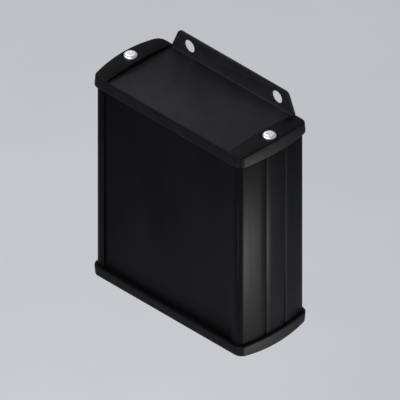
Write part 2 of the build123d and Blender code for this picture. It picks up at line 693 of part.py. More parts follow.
with BuildPart() as thermal_pad:
    box_between(
        (-SPREADER_HALF_W + 2, spreader_back_y, SPREADER_LOW_Z + 2),
        (SPREADER_HALF_W - 2, INNER_BACK_Y, SPREADER_TOP_Z - 2),
    )
save(thermal_pad, "thermal_pad")

with BuildPart() as spreader_screws:
    for x in (-SPREADER_SCREW_X, SPREADER_SCREW_X):
        for z in SPREADER_SCREW_ZS:
            with BuildSketch(facing_wall(x, BOARD_FACE_Y, z)):
                Circle(SPREADER_SCREW_R)
            extrude(amount=BOARD_T + SPREADER_SCREW_DEEP)
            with BuildSketch(facing_wall(x, BOARD_FACE_Y, z)):
                Circle(SPREADER_SCREW_HEAD_R)
            extrude(amount=-SPREADER_SCREW_HEAD_T)
            with BuildSketch(facing_wall(x, BOARD_FACE_Y - SPREADER_SCREW_HEAD_T, z)):
                Rectangle(2.2, 0.5)
                Rectangle(0.5, 2.2)
            extrude(amount=0.8, mode=Mode.SUBTRACT)
save(spreader_screws, "spreader_screws")


# ---- Shield cans: a soldered fence and a press-on lid over each amplifier chain ----
def shield(chain, x):
    """The fence and the lid over one amplifier chain."""
    half = CAN_W / 2
    lid_y = BOARD_FACE_Y - CAN_H
    low = (x - half, lid_y, CAN_LOW_Z)
    high = (x + half, BOARD_FACE_Y, CAN_TOP_Z)
    with BuildPart() as fence:
        box_between(low, high)
        box_between(
            (low[0] + CAN_WALL, lid_y - 1, low[2] + CAN_WALL),
            (high[0] - CAN_WALL, BOARD_FACE_Y, high[2] - CAN_WALL),
            mode=Mode.SUBTRACT,
        )
        middle_z = (CAN_LOW_Z + CAN_TOP_Z) / 2
        box_between((low[0], lid_y, middle_z), (high[0], BOARD_FACE_Y, middle_z + CAN_WALL))
        box_between(
            (x - FENCE_GATE_HALF_W, BOARD_FACE_Y - FENCE_GATE_H, middle_z - 1),
            (x + FENCE_GATE_HALF_W, BOARD_FACE_Y, middle_z + 1),
            mode=Mode.SUBTRACT,
        )
    save(fence, f"{chain}_shield_fence")
    with BuildPart() as lid:
        box_between(
            (low[0] - LID_T, lid_y - LID_T, low[2] - LID_T),
            (high[0] + LID_T, lid_y + LID_SKIRT, high[2] + LID_T),
        )
        fillet(lid.edges().filter_by(Axis.Y), 0.2)
        inner_y = lid_y + LID_SKIRT + 1
        box_between((low[0], lid_y, low[2]), (high[0], inner_y, high[2]), mode=Mode.SUBTRACT)
        with BuildSketch(facing_wall(x, lid_y - LID_T, middle_z)):
            with GridLocations(6, 7, 5, 6):
                Circle(LID_HOLE_R)
        extrude(amount=LID_T, mode=Mode.SUBTRACT)
    save(lid, f"{chain}_shield_lid")


# ---- Parts on the board: one node for each kind ----
def chips(name, places, size, lead_rows=0):
    """Rectangular packages at (x, z) places, with rows of leads along two sides if asked."""
    width, length, height = size
    with BuildPart() as group:
        for x, z in places:
            box_between(
                (x - width / 2, BOARD_FACE_Y - height, z - length / 2),
                (x + width / 2, BOARD_FACE_Y, z + length / 2),
            )
        chamfer(group.faces().sort_by(Axis.Y)[:len(places)].edges(), min(0.25, height / 4))
        for x, z in places:
            for row in range(lead_rows):
                lead_z = z + (row - (lead_rows - 1) / 2) * LEAD_PITCH
                lead_half = width / 2 + LEAD_REACH
                box_between(
                    (x - lead_half, BOARD_FACE_Y - LEAD_T, lead_z - LEAD_W / 2),
                    (x + lead_half, BOARD_FACE_Y, lead_z + LEAD_W / 2),
                )
    save(group, name)


for chain, chain_x in (("uplink", -CAN_X), ("downlink", CAN_X)):
    shield(chain, chain_x)
    amplifiers = [(chain_x + step, AMPLIFIER_Z) for step in AMPLIFIER_STEPS]
    filters = [(chain_x + step, FILTER_Z) for step in FILTER_STEPS]
    attenuators = [(chain_x + step, ATTENUATOR_Z) for step in ATTENUATOR_STEPS]
    chips(f"{chain}_power_amplifiers", amplifiers, AMPLIFIER_SIZE, 5)
    chips(f"{chain}_band_filters", filters, FILTER_SIZE)
    chips(f"{chain}_attenuators", attenuators, ATTENUATOR_SIZE, 3)

for port, side in (("donor", -1), ("server", 1)):
    duplexers = [(side * x, z) for z in DUPLEXER_ZS for x in DUPLEXER_XS]
    chips(f"{port}_duplexers", duplexers, DUPLEXER_SIZE)

chips("controller_chip", [(12.0, -26.0)], (7.0, 7.0, 1.0), 8)
chips("clock_crystal", [(12.0, -35.5)], (5.0, 3.2, 1.3))
chips("regulator_chip", [(-14.0, -18.0)], (4.0, 5.0, 1.2), 5)
chips("surge_suppressor", [(-21.5, -34.0)], (4.0, 6.5, 2.2))
chips("programming_header", [(20.5, -34.0)], (2.5, 7.6, 4.0))

with BuildPart() as power_inductor:
    box_between(
        (INDUCTOR_LOW[0], BOARD_FACE_Y - INDUCTOR_H, INDUCTOR_LOW[1]),
        (INDUCTOR_HIGH[0], BOARD_FACE_Y, INDUCTOR_HIGH[1]),
    )
    chamfer(power_inductor.edges().filter_by(Axis.Y), 1.2)
save(power_inductor, "power_inductor")

with BuildPart() as storage_capacitors:
    for x, z in CAPACITOR_PLACES:
        with BuildSketch(facing_wall(x, BOARD_FACE_Y, z)):
            RectangleRounded(CAPACITOR_BASE, CAPACITOR_BASE, 0.8)
        extrude(amount=-CAPACITOR_BASE_H)
        with BuildSketch(facing_wall(x, BOARD_FACE_Y, z)):
            Circle(CAPACITOR_R)
        extrude(amount=-CAPACITOR_H)
save(storage_capacitors, "storage_capacitors")
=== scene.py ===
"""The looks of a wall-mounted cellular signal booster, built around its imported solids.

Metres, +Z up along the case, front towards -Y, wall towards +Y.
"""
import json
from math import atan, cos, pi, radians, sin

import bpy
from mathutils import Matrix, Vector


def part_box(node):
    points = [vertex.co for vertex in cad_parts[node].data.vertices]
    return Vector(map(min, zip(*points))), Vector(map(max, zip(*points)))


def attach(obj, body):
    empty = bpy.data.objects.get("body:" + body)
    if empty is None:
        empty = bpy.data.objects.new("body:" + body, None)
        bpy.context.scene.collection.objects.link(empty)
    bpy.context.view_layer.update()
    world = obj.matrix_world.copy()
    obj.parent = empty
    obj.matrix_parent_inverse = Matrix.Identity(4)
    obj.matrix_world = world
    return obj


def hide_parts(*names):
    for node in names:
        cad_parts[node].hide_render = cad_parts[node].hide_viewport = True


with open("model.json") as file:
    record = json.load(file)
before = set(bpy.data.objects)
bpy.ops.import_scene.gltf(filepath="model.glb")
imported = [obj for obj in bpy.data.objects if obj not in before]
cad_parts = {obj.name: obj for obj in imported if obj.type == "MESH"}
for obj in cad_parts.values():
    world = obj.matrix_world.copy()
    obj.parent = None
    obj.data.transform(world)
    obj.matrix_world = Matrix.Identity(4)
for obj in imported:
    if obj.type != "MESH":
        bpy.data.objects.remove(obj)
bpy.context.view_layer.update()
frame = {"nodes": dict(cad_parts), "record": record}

MM = 0.001
SMOOTH_ANGLE = radians(32)
SHARP_ANGLE = radians(35)
BODIES = frame["record"]["behaviour"]["bodies"]
BODY_OF = {node: body for body, nodes in BODIES.items() for node in nodes}
SLOT_OF = {entry["node"]: entry["material_slot"] for entry in frame["record"]["subparts"]}


# ---- Camera, floor and light ----
case_low, case_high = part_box("body_extrusion")
MIDDLE = (case_low + case_high) / 2
VIEW_WIDTH = 0.1822
VIEW_LIFT = -0.0015
FLOOR_Z = -0.42             # the case hangs well above the floor


def add_camera():
    """An isometric view from the front right, without perspective."""
    towards = Vector((1, -1, 1)).normalized()
    target = Vector((MIDDLE.x, MIDDLE.y, VIEW_LIFT))
    data = bpy.data.cameras.new("camera")
    data.type = "ORTHO"
    data.ortho_scale = VIEW_WIDTH
    data.clip_end = 20
    camera = bpy.data.objects.new("camera", data)
    camera.location = target + towards * 1.2
    camera.rotation_euler = (-towards).to_track_quat("-Z", "Y").to_euler()
    bpy.context.scene.collection.objects.link(camera)
    bpy.context.scene.camera = camera


def add_light(name, place, size, watts):
    """A square soft box at a place, aimed at the middle of the case."""
    data = bpy.data.lights.new(name, "AREA")
    data.energy = watts
    data.size = size
    light = bpy.data.objects.new(name, data)
    light.location = MIDDLE + Vector(place)
    light.rotation_euler = (-Vector(place)).to_track_quat("-Z", "Y").to_euler()
    light.visible_camera = False
    bpy.context.scene.collection.objects.link(light)


def add_stage():
    """A plain pale floor below the hanging case, and an even pale surround."""
    bpy.ops.mesh.primitive_plane_add(size=8, location=(0, 0, FLOOR_Z))
    floor = bpy.context.object
    floor.name = "floor"
    floor.data.materials.append(floor_paint())
    world = bpy.data.worlds.new("surround")
    world.use_nodes = True
    backdrop = world.node_tree.nodes["Background"]
    backdrop.inputs["Color"].default_value = (0.9, 0.93, 1.0, 1)
    backdrop.inputs["Strength"].default_value = 0.4
    bpy.context.scene.world = world


# ---- Wiring of the finishes ----
def start_material(name, metallic, roughness, specular=0.5):
    """A principled material with its plain values set; returns it and its shader."""
    material = bpy.data.materials.new(name)
    material.use_nodes = True
    shader = material.node_tree.nodes["Principled BSDF"]
    shader.inputs["Metallic"].default_value = metallic
    shader.inputs["Roughness"].default_value = roughness
    shader.inputs["Specular IOR Level"].default_value = specular
    return material, shader


def pattern(material, kind, stretch, **settings):
    """A texture read in the object's own coordinates, stretched per axis; returns its grey output."""
    nodes, links = material.node_tree.nodes, material.node_tree.links
    place = nodes.new("ShaderNodeTexCoord")
    mapping = nodes.new("ShaderNodeMapping")
    mapping.inputs["Scale"].default_value = stretch
    texture = nodes.new(kind)
    for key, value in settings.items():
        texture.inputs[key].default_value = value
    links.new(place.outputs["Object"], mapping.inputs["Vector"])
    links.new(mapping.outputs["Vector"], texture.inputs["Vector"])
    names = [output.name for output in texture.outputs if output.enabled]
    return texture.outputs["Fac" if "Fac" in names else "Distance"]


def noise(material, stretch, detail=3.0):
    """Smooth random grey; a larger stretch makes it finer."""
    return pattern(material, "ShaderNodeTexNoise", stretch, Scale=1.0, Detail=detail)


def cells(material, stretch):
    """Grey that grows from the middle of each random cell."""
    return pattern(material, "ShaderNodeTexVoronoi", stretch, Scale=1.0)


def ranged(material, grey, low, high, dark=0.3, light=0.7):
    """Maps a grey output, from dark to light, on to low to high."""
    node = material.node_tree.nodes.new("ShaderNodeMapRange")
    for key, value in (("From Min", dark), ("From Max", light), ("To Min", low), ("To Max", high)):
        node.inputs[key].default_value = value
    material.node_tree.links.new(grey, node.inputs["Value"])
    return node.outputs["Result"]


def two_tone(material, shader, grey, first, second):
    """Base colour that runs from first to second with a grey output."""
    node = material.node_tree.nodes.new("ShaderNodeMix")
    node.data_type = "RGBA"
    node.inputs["A"].default_value = (*first, 1)
    node.inputs["B"].default_value = (*second, 1)
    material.node_tree.links.new(ranged(material, grey, 0, 1), node.inputs["Factor"])
    material.node_tree.links.new(node.outputs["Result"], shader.inputs["Base Color"])


def vary_roughness(material, shader, grey, low, high):
    """Roughness that runs from low to high with a grey output."""
    material.node_tree.links.new(ranged(material, grey, low, high), shader.inputs["Roughness"])


def raise_surface(material, shader, grey, height):
    """Fine relief of the given height in metres."""
    node = material.node_tree.nodes.new("ShaderNodeBump")
    node.inputs["Strength"].default_value = 1.0
    node.inputs["Distance"].default_value = height
    material.node_tree.links.new(grey, node.inputs["Height"])
    material.node_tree.links.new(node.outputs["Normal"], shader.inputs["Normal"])


# ---- Finishes, one function for each ----
def floor_paint():
    """Even pale grey."""
    material, shader = start_material("floor_paint", 0.0, 0.8, 0.2)
    two_tone(material, shader, noise(material, (9, 9, 9)), (0.7, 0.71, 0.73), (0.74, 0.75, 0.77))
    return material


def black_anodising():
    """Satin black over fine lengthwise die lines."""
    material, shader = start_material("black_anodising", 0.0, 0.36, 0.025)
    lines = noise(material, (5200, 5200, 9), 2.0)
    cloud = noise(material, (60, 60, 22))
    two_tone(material, shader, cloud, (0.002, 0.002, 0.0024), (0.0035, 0.0035, 0.004))
    vary_roughness(material, shader, lines, 0.32, 0.42)
    raise_surface(material, shader, lines, 0.0000035)
    return material


def black_moulding():
    """Plastic from a spark-eroded mould."""
    material, shader = start_material("black_moulding", 0.0, 0.4, 0.05)
    grain = noise(material, (6500, 6500, 6500), 2.0)
    cloud = noise(material, (90, 90, 90))
    two_tone(material, shader, cloud, (0.0028, 0.0028, 0.0032), (0.0045, 0.0045, 0.005))
    vary_roughness(material, shader, grain, 0.42, 0.55)
    raise_surface(material, shader, grain, 0.000006)
    return material


def black_powder_coat():
    """Baked powder with a faint orange peel."""
    material, shader = start_material("black_powder_coat", 0.0, 0.5, 0.1)
    peel = noise(material, (1700, 1700, 1700), 2.5)
    cloud = noise(material, (120, 120, 120))
    two_tone(material, shader, cloud, (0.0095, 0.0095, 0.0104), (0.0135, 0.0135, 0.0148))
    vary_roughness(material, shader, peel, 0.44, 0.58)
    raise_surface(material, shader, peel, 0.00001)
    return material


def black_foam():
    """Closed-cell foam with fine pores."""
    material, shader = start_material("black_foam", 0.0, 0.9, 0.25)
    pores = cells(material, (3600, 3600, 3600))
    two_tone(material, shader, pores, (0.008, 0.008, 0.008), (0.03, 0.03, 0.03))
    raise_surface(material, shader, pores, 0.00004)
    return material


def zinc_plate():
    """Bright zinc with faint turning marks."""
    material, shader = start_material("zinc_plate", 1.0, 0.3)
    marks = noise(material, (4200, 4200, 700), 3.0)
    two_tone(material, shader, noise(material, (700, 700, 700)), (0.86, 0.88, 0.9), (0.95, 0.95, 0.94))
    vary_roughness(material, shader, marks, 0.22, 0.38)
    raise_surface(material, shader, marks, 0.000003)
    return material


def nickel_plate():
    """Nickel over turned brass, with a faint haze."""
    material, shader = start_material("nickel_plate", 1.0, 0.2)
    haze = noise(material, (900, 900, 900), 4.0)
    two_tone(material, shader, haze, (0.64, 0.61, 0.56), (0.69, 0.66, 0.61))
    vary_roughness(material, shader, haze, 0.2, 0.27)
    raise_surface(material, shader, noise(material, (5000, 5000, 500)), 0.0000004)
    return material


def gold_flash():
    """Thin gold plating."""
    material, shader = start_material("gold_flash", 1.0, 0.22)
    haze = noise(material, (1500, 1500, 1500))
    two_tone(material, shader, haze, (0.85, 0.58, 0.22), (0.95, 0.7, 0.32))
    vary_roughness(material, shader, haze, 0.16, 0.3)
    return material


def white_fluoropolymer():
    """Waxy and slightly translucent."""
    material, shader = start_material("white_fluoropolymer", 0.0, 0.38)
    mottle = noise(material, (800, 800, 800))
    two_tone(material, shader, mottle, (0.76, 0.75, 0.71), (0.84, 0.83, 0.8))
    vary_roughness(material, shader, mottle, 0.32, 0.46)
    shader.inputs["Subsurface Weight"].default_value = 0.15
    shader.inputs["Subsurface Scale"].default_value = 0.0002
    shader.inputs["Subsurface Radius"].default_value = (1.0, 0.9, 0.8)
    return material


def green_lens():
    """A lit green lens."""
    material, shader = start_material("green_lens", 0.0, 0.12)
    swirl = noise(material, (1100, 1100, 1100))
    two_tone(material, shader, swirl, (0.04, 0.42, 0.1), (0.08, 0.55, 0.16))
    vary_roughness(material, shader, swirl, 0.08, 0.18)
    shader.inputs["Emission Color"].default_value = (0.15, 1.0, 0.3, 1)
    shader.inputs["Emission Strength"].default_value = 0.6
    return material


def solder_mask():
    """Green mask over copper tracks, which show as slightly raised, lighter bands."""
    material, shader = start_material("solder_mask", 0.0, 0.3)
    tracks = pattern(material, "ShaderNodeTexWave", (900, 900, 900),
                     Scale=0.35, Distortion=5.0, Detail=1.0)
    two_tone(material, shader, tracks, (0.006, 0.085, 0.03), (0.02, 0.17, 0.06))
    vary_roughness(material, shader, tracks, 0.24, 0.34)
    raise_surface(material, shader, tracks, 0.00001)
    return material


def moulded_package():
    """The dark, finely grained moulding of a chip."""
    material, shader = start_material("moulded_package", 0.0, 0.6)
    grain = noise(material, (5200, 5200, 5200))
    two_tone(material, shader, grain, (0.018, 0.018, 0.02), (0.035, 0.035, 0.037))
    raise_surface(material, shader, grain, 0.000008)
    return material


def tin_plate():
    """Tinned steel sheet with a faint spangle."""
    material, shader = start_material("tin_plate", 1.0, 0.35)
    spangle = cells(material, (420, 420, 420))
    two_tone(material, shader, spangle, (0.68, 0.685, 0.69), (0.72, 0.72, 0.72))
    vary_roughness(material, shader, spangle, 0.34, 0.38)
    return material


def milled_aluminium():
    """Bare aluminium with fine cutter marks."""
    material, shader = start_material("milled_aluminium", 1.0, 0.35)
    cuts = noise(material, (120, 120, 3800), 3.0)
    two_tone(material, shader, cuts, (0.66, 0.67, 0.69), (0.8, 0.8, 0.81))
    vary_roughness(material, shader, cuts, 0.28, 0.45)
    raise_surface(material, shader, cuts, 0.000004)
    return material


def silicone_pad():
    """Soft grey-blue pad with a mineral filler."""
    material, shader = start_material("silicone_pad", 0.0, 0.7, 0.3)
    filler = noise(material, (2600, 2600, 2600), 4.0)
    two_tone(material, shader, filler, (0.2, 0.26, 0.33), (0.3, 0.37, 0.45))
    raise_surface(material, shader, filler, 0.00002)
    return material


FINISHES = {
    "anodised_case": black_anodising(),
    "cap_plastic": black_moulding(),
    "plate_black": black_powder_coat(),
    "foam_rubber": black_foam(),
    "bright_steel": zinc_plate(),
    "nickel_plate": nickel_plate(),
    "gold_contact": gold_flash(),
    "white_insulator": white_fluoropolymer(),
    "light_lens": green_lens(),
    "board_laminate": solder_mask(),
    "chip_black": moulded_package(),
    "tinned_steel": tin_plate(),
    "bare_aluminium": milled_aluminium(),
    "gap_pad": silicone_pad(),
}
FINISHES["black_moulding"] = FINISHES["cap_plastic"]


# ---- Modelling steps ----
def only(piece):
    """Selects one piece and makes it active."""
    bpy.ops.object.select_all(action="DESELECT")
    piece.select_set(True)
    bpy.context.view_layer.objects.active = piece


def named(name):
    """Names the primitive just added."""
    piece = bpy.context.object
    piece.name = name
    piece.data.name = name
    return piece


def rod(name, x, y, near_z, far_z, radius, sides=64):
    """A cylinder along Z."""
    bpy.ops.object.select_all(action="DESELECT")
    bpy.ops.mesh.primitive_cylinder_add(
        vertices=sides, radius=radius, depth=abs(far_z - near_z), location=(x, y, (near_z + far_z) / 2))
    return named(name)


def block(name, low, high):
    """A box between any two opposite corners."""
    low, high = (Vector(pick(pair) for pair in zip(low, high)) for pick in (min, max))
    bpy.ops.object.select_all(action="DESELECT")
    bpy.ops.mesh.primitive_cube_add(size=1, location=(low + high) / 2, scale=high - low)
    piece = named(name)
    settle(piece)
    return piece


def settle(piece):
    """Puts the piece's place into its mesh."""
    only(piece)
    bpy.ops.object.transform_apply(location=True, rotation=True, scale=True)


def finish_with(piece, kind, **settings):
    """Adds a modifier and applies it."""
    only(piece)
    modifier = piece.modifiers.new(kind.lower(), kind)
    for key, value in settings.items():
        setattr(modifier, key, value)
    bpy.ops.object.modifier_apply(modifier=modifier.name)


def combine(piece, tool, operation):
    """Joins, cuts or trims a piece with a tool, which is used up."""
    finish_with(piece, "BOOLEAN", object=tool, operation=operation, solver="EXACT")
    bpy.data.objects.remove(tool)


def join_on(piece, *others):
    """Makes several closed shells one piece."""
    only(piece)
    for other in others:
        other.select_set(True)
    bpy.ops.object.join()


def round_edges(piece, width, segments=2):
    """Bevels every edge sharper than a set angle."""
    finish_with(piece, "BEVEL", width=width, segments=segments,
                limit_method="ANGLE", angle_limit=SHARP_ANGLE)


def rim_of(piece, z, reach=0.01 * MM):
    """Selects, in edit mode, the edges that lie at one height."""
    bpy.ops.object.mode_set(mode="EDIT")
    bpy.ops.mesh.select_mode(type="EDGE")
    bpy.ops.mesh.select_all(action="DESELECT")
    bpy.ops.object.mode_set(mode="OBJECT")
    for edge in piece.data.edges:
        ends = [piece.matrix_world @ piece.data.vertices[v].co for v in edge.vertices]
        edge.select = all(abs(end.z - z) < reach for end in ends)
    bpy.ops.object.mode_set(mode="EDIT")


def bevel_rim(piece, z, width, segments=1):
    """Bevels the rim of a turned piece at one height."""
    only(piece)
    rim_of(piece, z)
    bpy.ops.mesh.bevel(offset=width, segments=segments, affect="EDGES")
    bpy.ops.object.mode_set(mode="OBJECT")


def hand_over(piece, slot, body, *nodes):
    """Shades a finished piece, paints it, and puts it on its body in place of its nodes."""
    settle(piece)
    bpy.ops.object.shade_smooth_by_angle(angle=SMOOTH_ANGLE)
    piece.data.materials.clear()
    piece.data.materials.append(FINISHES[slot])
    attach(piece, body)
    if nodes:
        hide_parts(*nodes)
    return piece


def eased(node, width, segments=2):
    """A copy of a solid with its sharp edges eased, standing for it."""
    piece = bpy.data.objects.new(f"{node}_eased", frame["nodes"][node].data.copy())
    bpy.context.scene.collection.objects.link(piece)
    only(piece)
    bpy.ops.object.mode_set(mode="EDIT")
    bpy.ops.mesh.select_all(action="SELECT")
    bpy.ops.mesh.remove_doubles(threshold=0.000001)
    bpy.ops.mesh.customdata_custom_splitnormals_clear()
    bpy.ops.mesh.dissolve_limited(angle_limit=radians(0.3))
    bpy.ops.object.mode_set(mode="OBJECT")
    round_edges(piece, width, segments)
    hand_over(piece, SLOT_OF[node], BODY_OF[node], node)
    return piece


add_camera()
add_light("side_glow", (0.52, 0.14, -0.34), 0.2, 5.5)
add_light("post_glow", (0.14, -0.62, -0.36), 0.12, 1.2)
add_light("edge_glow", (-0.7, -0.72, 0.68), 0.22, 1.5)
add_light("rim", (-0.55, 0.33, 0.72), 0.32, 0.3)
add_light("front", (0.3, -0.95, 0.85), 0.6, 14)
add_light("floor_wash", (-1.3, 0.6, 1.5), 0.9, 5)
add_stage()

for node, solid in frame["nodes"].items():
    solid.data.materials.clear()
    solid.data.materials.append(FINISHES[SLOT_OF[node]])


# ---- Threads, nuts and washers ----
THREAD_STEPS = 40           # corners in one turn of a thread
RING_SIDES = 32             # a washer has half as many teeth
TOOTH_LENGTH = 0.75 * MM
WASHER_HALF_T = 0.2 * MM


def ridge(x, y, near_z, far_z, radius, pitch):
    """One helical thread ridge round an axis, running past both ends of its stretch."""
    depth = 0.6 * pitch
    low_z = min(near_z, far_z) - pitch
    bpy.ops.object.select_all(action="DESELECT")
    bpy.ops.mesh.primitive_circle_add(vertices=3, radius=depth, location=(x, y, low_z),
                                      rotation=(pi / 2, pi / 2, 0))
    piece = named("thread_ridge")
    bpy.ops.object.transform_apply(location=False, rotation=True, scale=False)
    bpy.ops.object.mode_set(mode="EDIT")
    bpy.ops.mesh.select_all(action="SELECT")
    crest = max(v.co.x for v in piece.data.vertices)
    heights = [v.co.z for v in piece.data.vertices]
    height = max(heights) - min(heights)
    bpy.ops.transform.resize(value=(1, 1, 0.94 * pitch / height))
    bpy.ops.transform.translate(value=(radius - crest, 0, 0))
    bpy.ops.object.mode_set(mode="OBJECT")
    turns = int(abs(far_z - near_z) / pitch) + 3
    finish_with(piece, "SCREW", axis="Z", angle=2 * pi, steps=THREAD_STEPS, render_steps=THREAD_STEPS,
                screw_offset=pitch, iterations=turns, use_merge_vertices=True, merge_threshold=0.001 * MM)
    bpy.ops.object.mode_set(mode="EDIT")
    bpy.ops.mesh.select_all(action="SELECT")
    bpy.ops.mesh.fill_holes(sides=4)
    bpy.ops.mesh.normals_make_consistent(inside=False)
    bpy.ops.object.mode_set(mode="OBJECT")
    settle(piece)
    return piece


def threaded_rod(name, x, y, near_z, far_z, radius, pitch, bore_radius=0):
    """A rod or tube with a true helical thread and a chamfered far end."""
    chamfer = 0.7 * pitch
    crests = ridge(x, y, near_z, far_z, radius, pitch)
    envelope = rod("envelope", x, y, near_z, far_z, radius + 0.02 * MM)
    bevel_rim(envelope, far_z, chamfer)
    combine(crests, envelope, "INTERSECT")
    core = rod(name, x, y, near_z, far_z, radius - 0.55 * pitch)
    if bore_radius:
        combine(core, rod("bore", x, y, near_z + MM, far_z - MM, bore_radius), "DIFFERENCE")
    combine(core, crests, "UNION")
    return core


def hexagon_nut(node, bore_radius):
    """A hexagon nut whose corners are turned off in arcs, with a plain bore."""
    low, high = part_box(node)
    x, y = (low.x + high.x) / 2, (low.y + high.y) / 2
    flats = high.y - low.y
    nut = rod(f"{node}_turned", x, y, low.z, high.z, flats / 2 / cos(pi / 6), 6)
    only(nut)
    bpy.ops.object.transform_apply(location=False, rotation=False, scale=True)
    if nut.dimensions.y > nut.dimensions.x:
        nut.rotation_euler.z = pi / 2
    disc = rod("disc", x, y, low.z, high.z, flats / 2 / cos(pi / 6) + 0.01 * MM, 96)
    bevel_rim(disc, low.z, 0.45 * MM)
    combine(nut, disc, "INTERSECT")
    bore = rod("bore", x, y, low.z - MM, high.z + MM, bore_radius)
    combine(nut, bore, "DIFFERENCE")
    return hand_over(nut, SLOT_OF[node], BODY_OF[node], node)


def toothed_washer(node, bore_radius):
    """A flat lock washer with outer teeth."""
    low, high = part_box(node)
    x, y = (low.x + high.x) / 2, (low.y + high.y) / 2
    outer = (high.x - low.x) / 2
    middle = (low.z + high.z) / 2
    ring = outer - TOOTH_LENGTH
    washer = rod(f"{node}_toothed", x, y, middle - WASHER_HALF_T, middle + WASHER_HALF_T, ring, RING_SIDES)
    only(washer)
    for face in washer.data.polygons:
        spoke = washer.matrix_world @ face.center
        turn = Vector((spoke.x - x, spoke.y - y)).angle_signed(Vector((1, 0))) / (2 * pi) * RING_SIDES
        face.select = abs(face.normal.z) < 0.5 and round(turn - 0.5) % 2 == 0
    bpy.ops.object.mode_set(mode="EDIT")
    bpy.ops.mesh.select_mode(type="FACE")
    bpy.ops.mesh.extrude_region_move(TRANSFORM_OT_translate={"value": (0, 0, 0)})
    bpy.ops.transform.resize(value=(outer / ring, outer / ring, 1.1), center_override=(x, y, middle))
    bpy.ops.object.mode_set(mode="OBJECT")
    bore = rod("bore", x, y, low.z - MM, high.z + MM, bore_radius)
    combine(washer, bore, "DIFFERENCE")
    return hand_over(washer, SLOT_OF[node], BODY_OF[node], node)


# ---- Radio jacks ----
COUPLING_PITCH = 25.4 / 36 * MM
PANEL_PITCH = 0.75 * MM
SWITCH_LIP_T = 1.0 * MM
PLATE_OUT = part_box("switch_housing")[0].z + SWITCH_LIP_T
JACK_STEP_DROP = 3.1 * MM
JACK_COUPLING_R = 3.175 * MM
JACK_PANEL_R = 4.0 * MM
JACK_BORE_R = 2.3 * MM
CONTACT_R = 0.65 * MM
CONTACT_TAIL_R = 0.45 * MM
CONTACT_BORE_DEEP = 3.0 * MM
CONTACT_SLOT_DEEP = 2.2 * MM
CONTACT_SLOT_HALF_W = 0.09 * MM
GAIN_BUSH_BORE_R = 3.95 * MM


def socket_contact(port, x, y):
    """The middle contact: a slotted socket that turns back to the board."""
    low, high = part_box(f"{port}_jack_contact")
    turn_z = high.z - CONTACT_TAIL_R
    contact = rod(f"{port}_jack_contact_slotted", x, y, low.z, turn_z, CONTACT_R, 40)
    bore = rod("bore", x, y, low.z - MM, low.z + CONTACT_BORE_DEEP, CONTACT_TAIL_R, 40)
    combine(contact, bore, "DIFFERENCE")
    bpy.ops.object.select_all(action="DESELECT")
    bpy.ops.mesh.primitive_cylinder_add(vertices=32, radius=CONTACT_TAIL_R, depth=high.y - y,
                                        location=(x, (y + high.y) / 2, turn_z), rotation=(pi / 2, 0, 0))
    tail = named("contact_tail")
    settle(tail)
    combine(contact, tail, "UNION")
    for wide, deep in ((CONTACT_SLOT_HALF_W, MM), (MM, CONTACT_SLOT_HALF_W)):
        saw = block("slot", (x - wide, y - deep, low.z - MM),
                    (x + wide, y + deep, low.z + CONTACT_SLOT_DEEP))
        combine(contact, saw, "DIFFERENCE")
    hand_over(contact, "gold_contact", "case", f"{port}_jack_contact")


def radio_jack(port):
    """The shell with its two threads, its contact, nut and washer."""
    shell_low, shell_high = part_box(f"{port}_jack_shell")
    core_low, core_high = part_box(f"{port}_jack_insulator")
    x, y = (core_low.x + core_high.x) / 2, (core_low.y + core_high.y) / 2
    step = PLATE_OUT - JACK_STEP_DROP
    shell = block(f"{port}_jack_threaded", (shell_low.x, shell_low.y, core_high.z), shell_high)
    round_edges(shell, 0.4 * MM)
    bore = rod("bore", x, y, core_high.z - MM, core_high.z + 5 * MM, JACK_BORE_R)
    combine(shell, bore, "DIFFERENCE")
    panel = threaded_rod("panel_thread", x, y, core_high.z, step, JACK_PANEL_R, PANEL_PITCH, JACK_BORE_R)
    coupling = threaded_rod("coupling_thread", x, y, step, shell_low.z,
                            JACK_COUPLING_R, COUPLING_PITCH, JACK_BORE_R)
    join_on(shell, panel, coupling)
    hand_over(shell, "nickel_plate", "case", f"{port}_jack_shell")
    hexagon_nut(f"{port}_jack_nut", JACK_PANEL_R)
    toothed_washer(f"{port}_jack_washer", JACK_PANEL_R + 0.05 * MM)
    socket_contact(port, x, y)


for port in ("donor", "server"):
    radio_jack(port)
hexagon_nut("gain_pot_nut", GAIN_BUSH_BORE_R)


# ---- Cap screws ----
SCREW_HEAD_T = 2.4 * MM
SCREW_DOME = 1.45 * MM
SCREW_SHANK_R = 1.5 * MM
SCREW_PITCH = 0.95 * MM
RECESS_SIZE = (3.7 * MM, 0.75 * MM, 2.0 * MM)
RECESS_TAPER = 0.45         # size of the recess at its bottom against its top


def pan_screw(name, x, y, side, seat, top, head_radius, tip):
    """A pan-head screw with a cross recess and a coarse thread."""
    head = rod(name, x, y, seat, top, head_radius, 72)
    bevel_rim(head, top, SCREW_DOME, 9)
    for turn in (radians(45), radians(135)):
        bpy.ops.object.select_all(action="DESELECT")
        bpy.ops.mesh.primitive_cube_add(size=1, location=(x, y, top - side * 0.35 * MM),
                                        rotation=(0, 0, turn), scale=RECESS_SIZE)
        wing = named("recess_wing")
        settle(wing)
        bpy.ops.object.mode_set(mode="EDIT")
        bpy.ops.mesh.select_mode(type="FACE")
        bpy.ops.mesh.select_all(action="DESELECT")
        bpy.ops.object.mode_set(mode="OBJECT")
        for face in wing.data.polygons:
            face.select = face.normal.z * side < -0.5
        bpy.ops.object.mode_set(mode="EDIT")
        bpy.ops.transform.resize(value=(RECESS_TAPER, RECESS_TAPER, 1), center_override=(x, y, top))
        bpy.ops.object.mode_set(mode="OBJECT")
        combine(head, wing, "DIFFERENCE")
    shank = threaded_rod("shank", x, y, seat + side * 0.3 * MM, tip, SCREW_SHANK_R, SCREW_PITCH)
    combine(head, shank, "UNION")
    return head


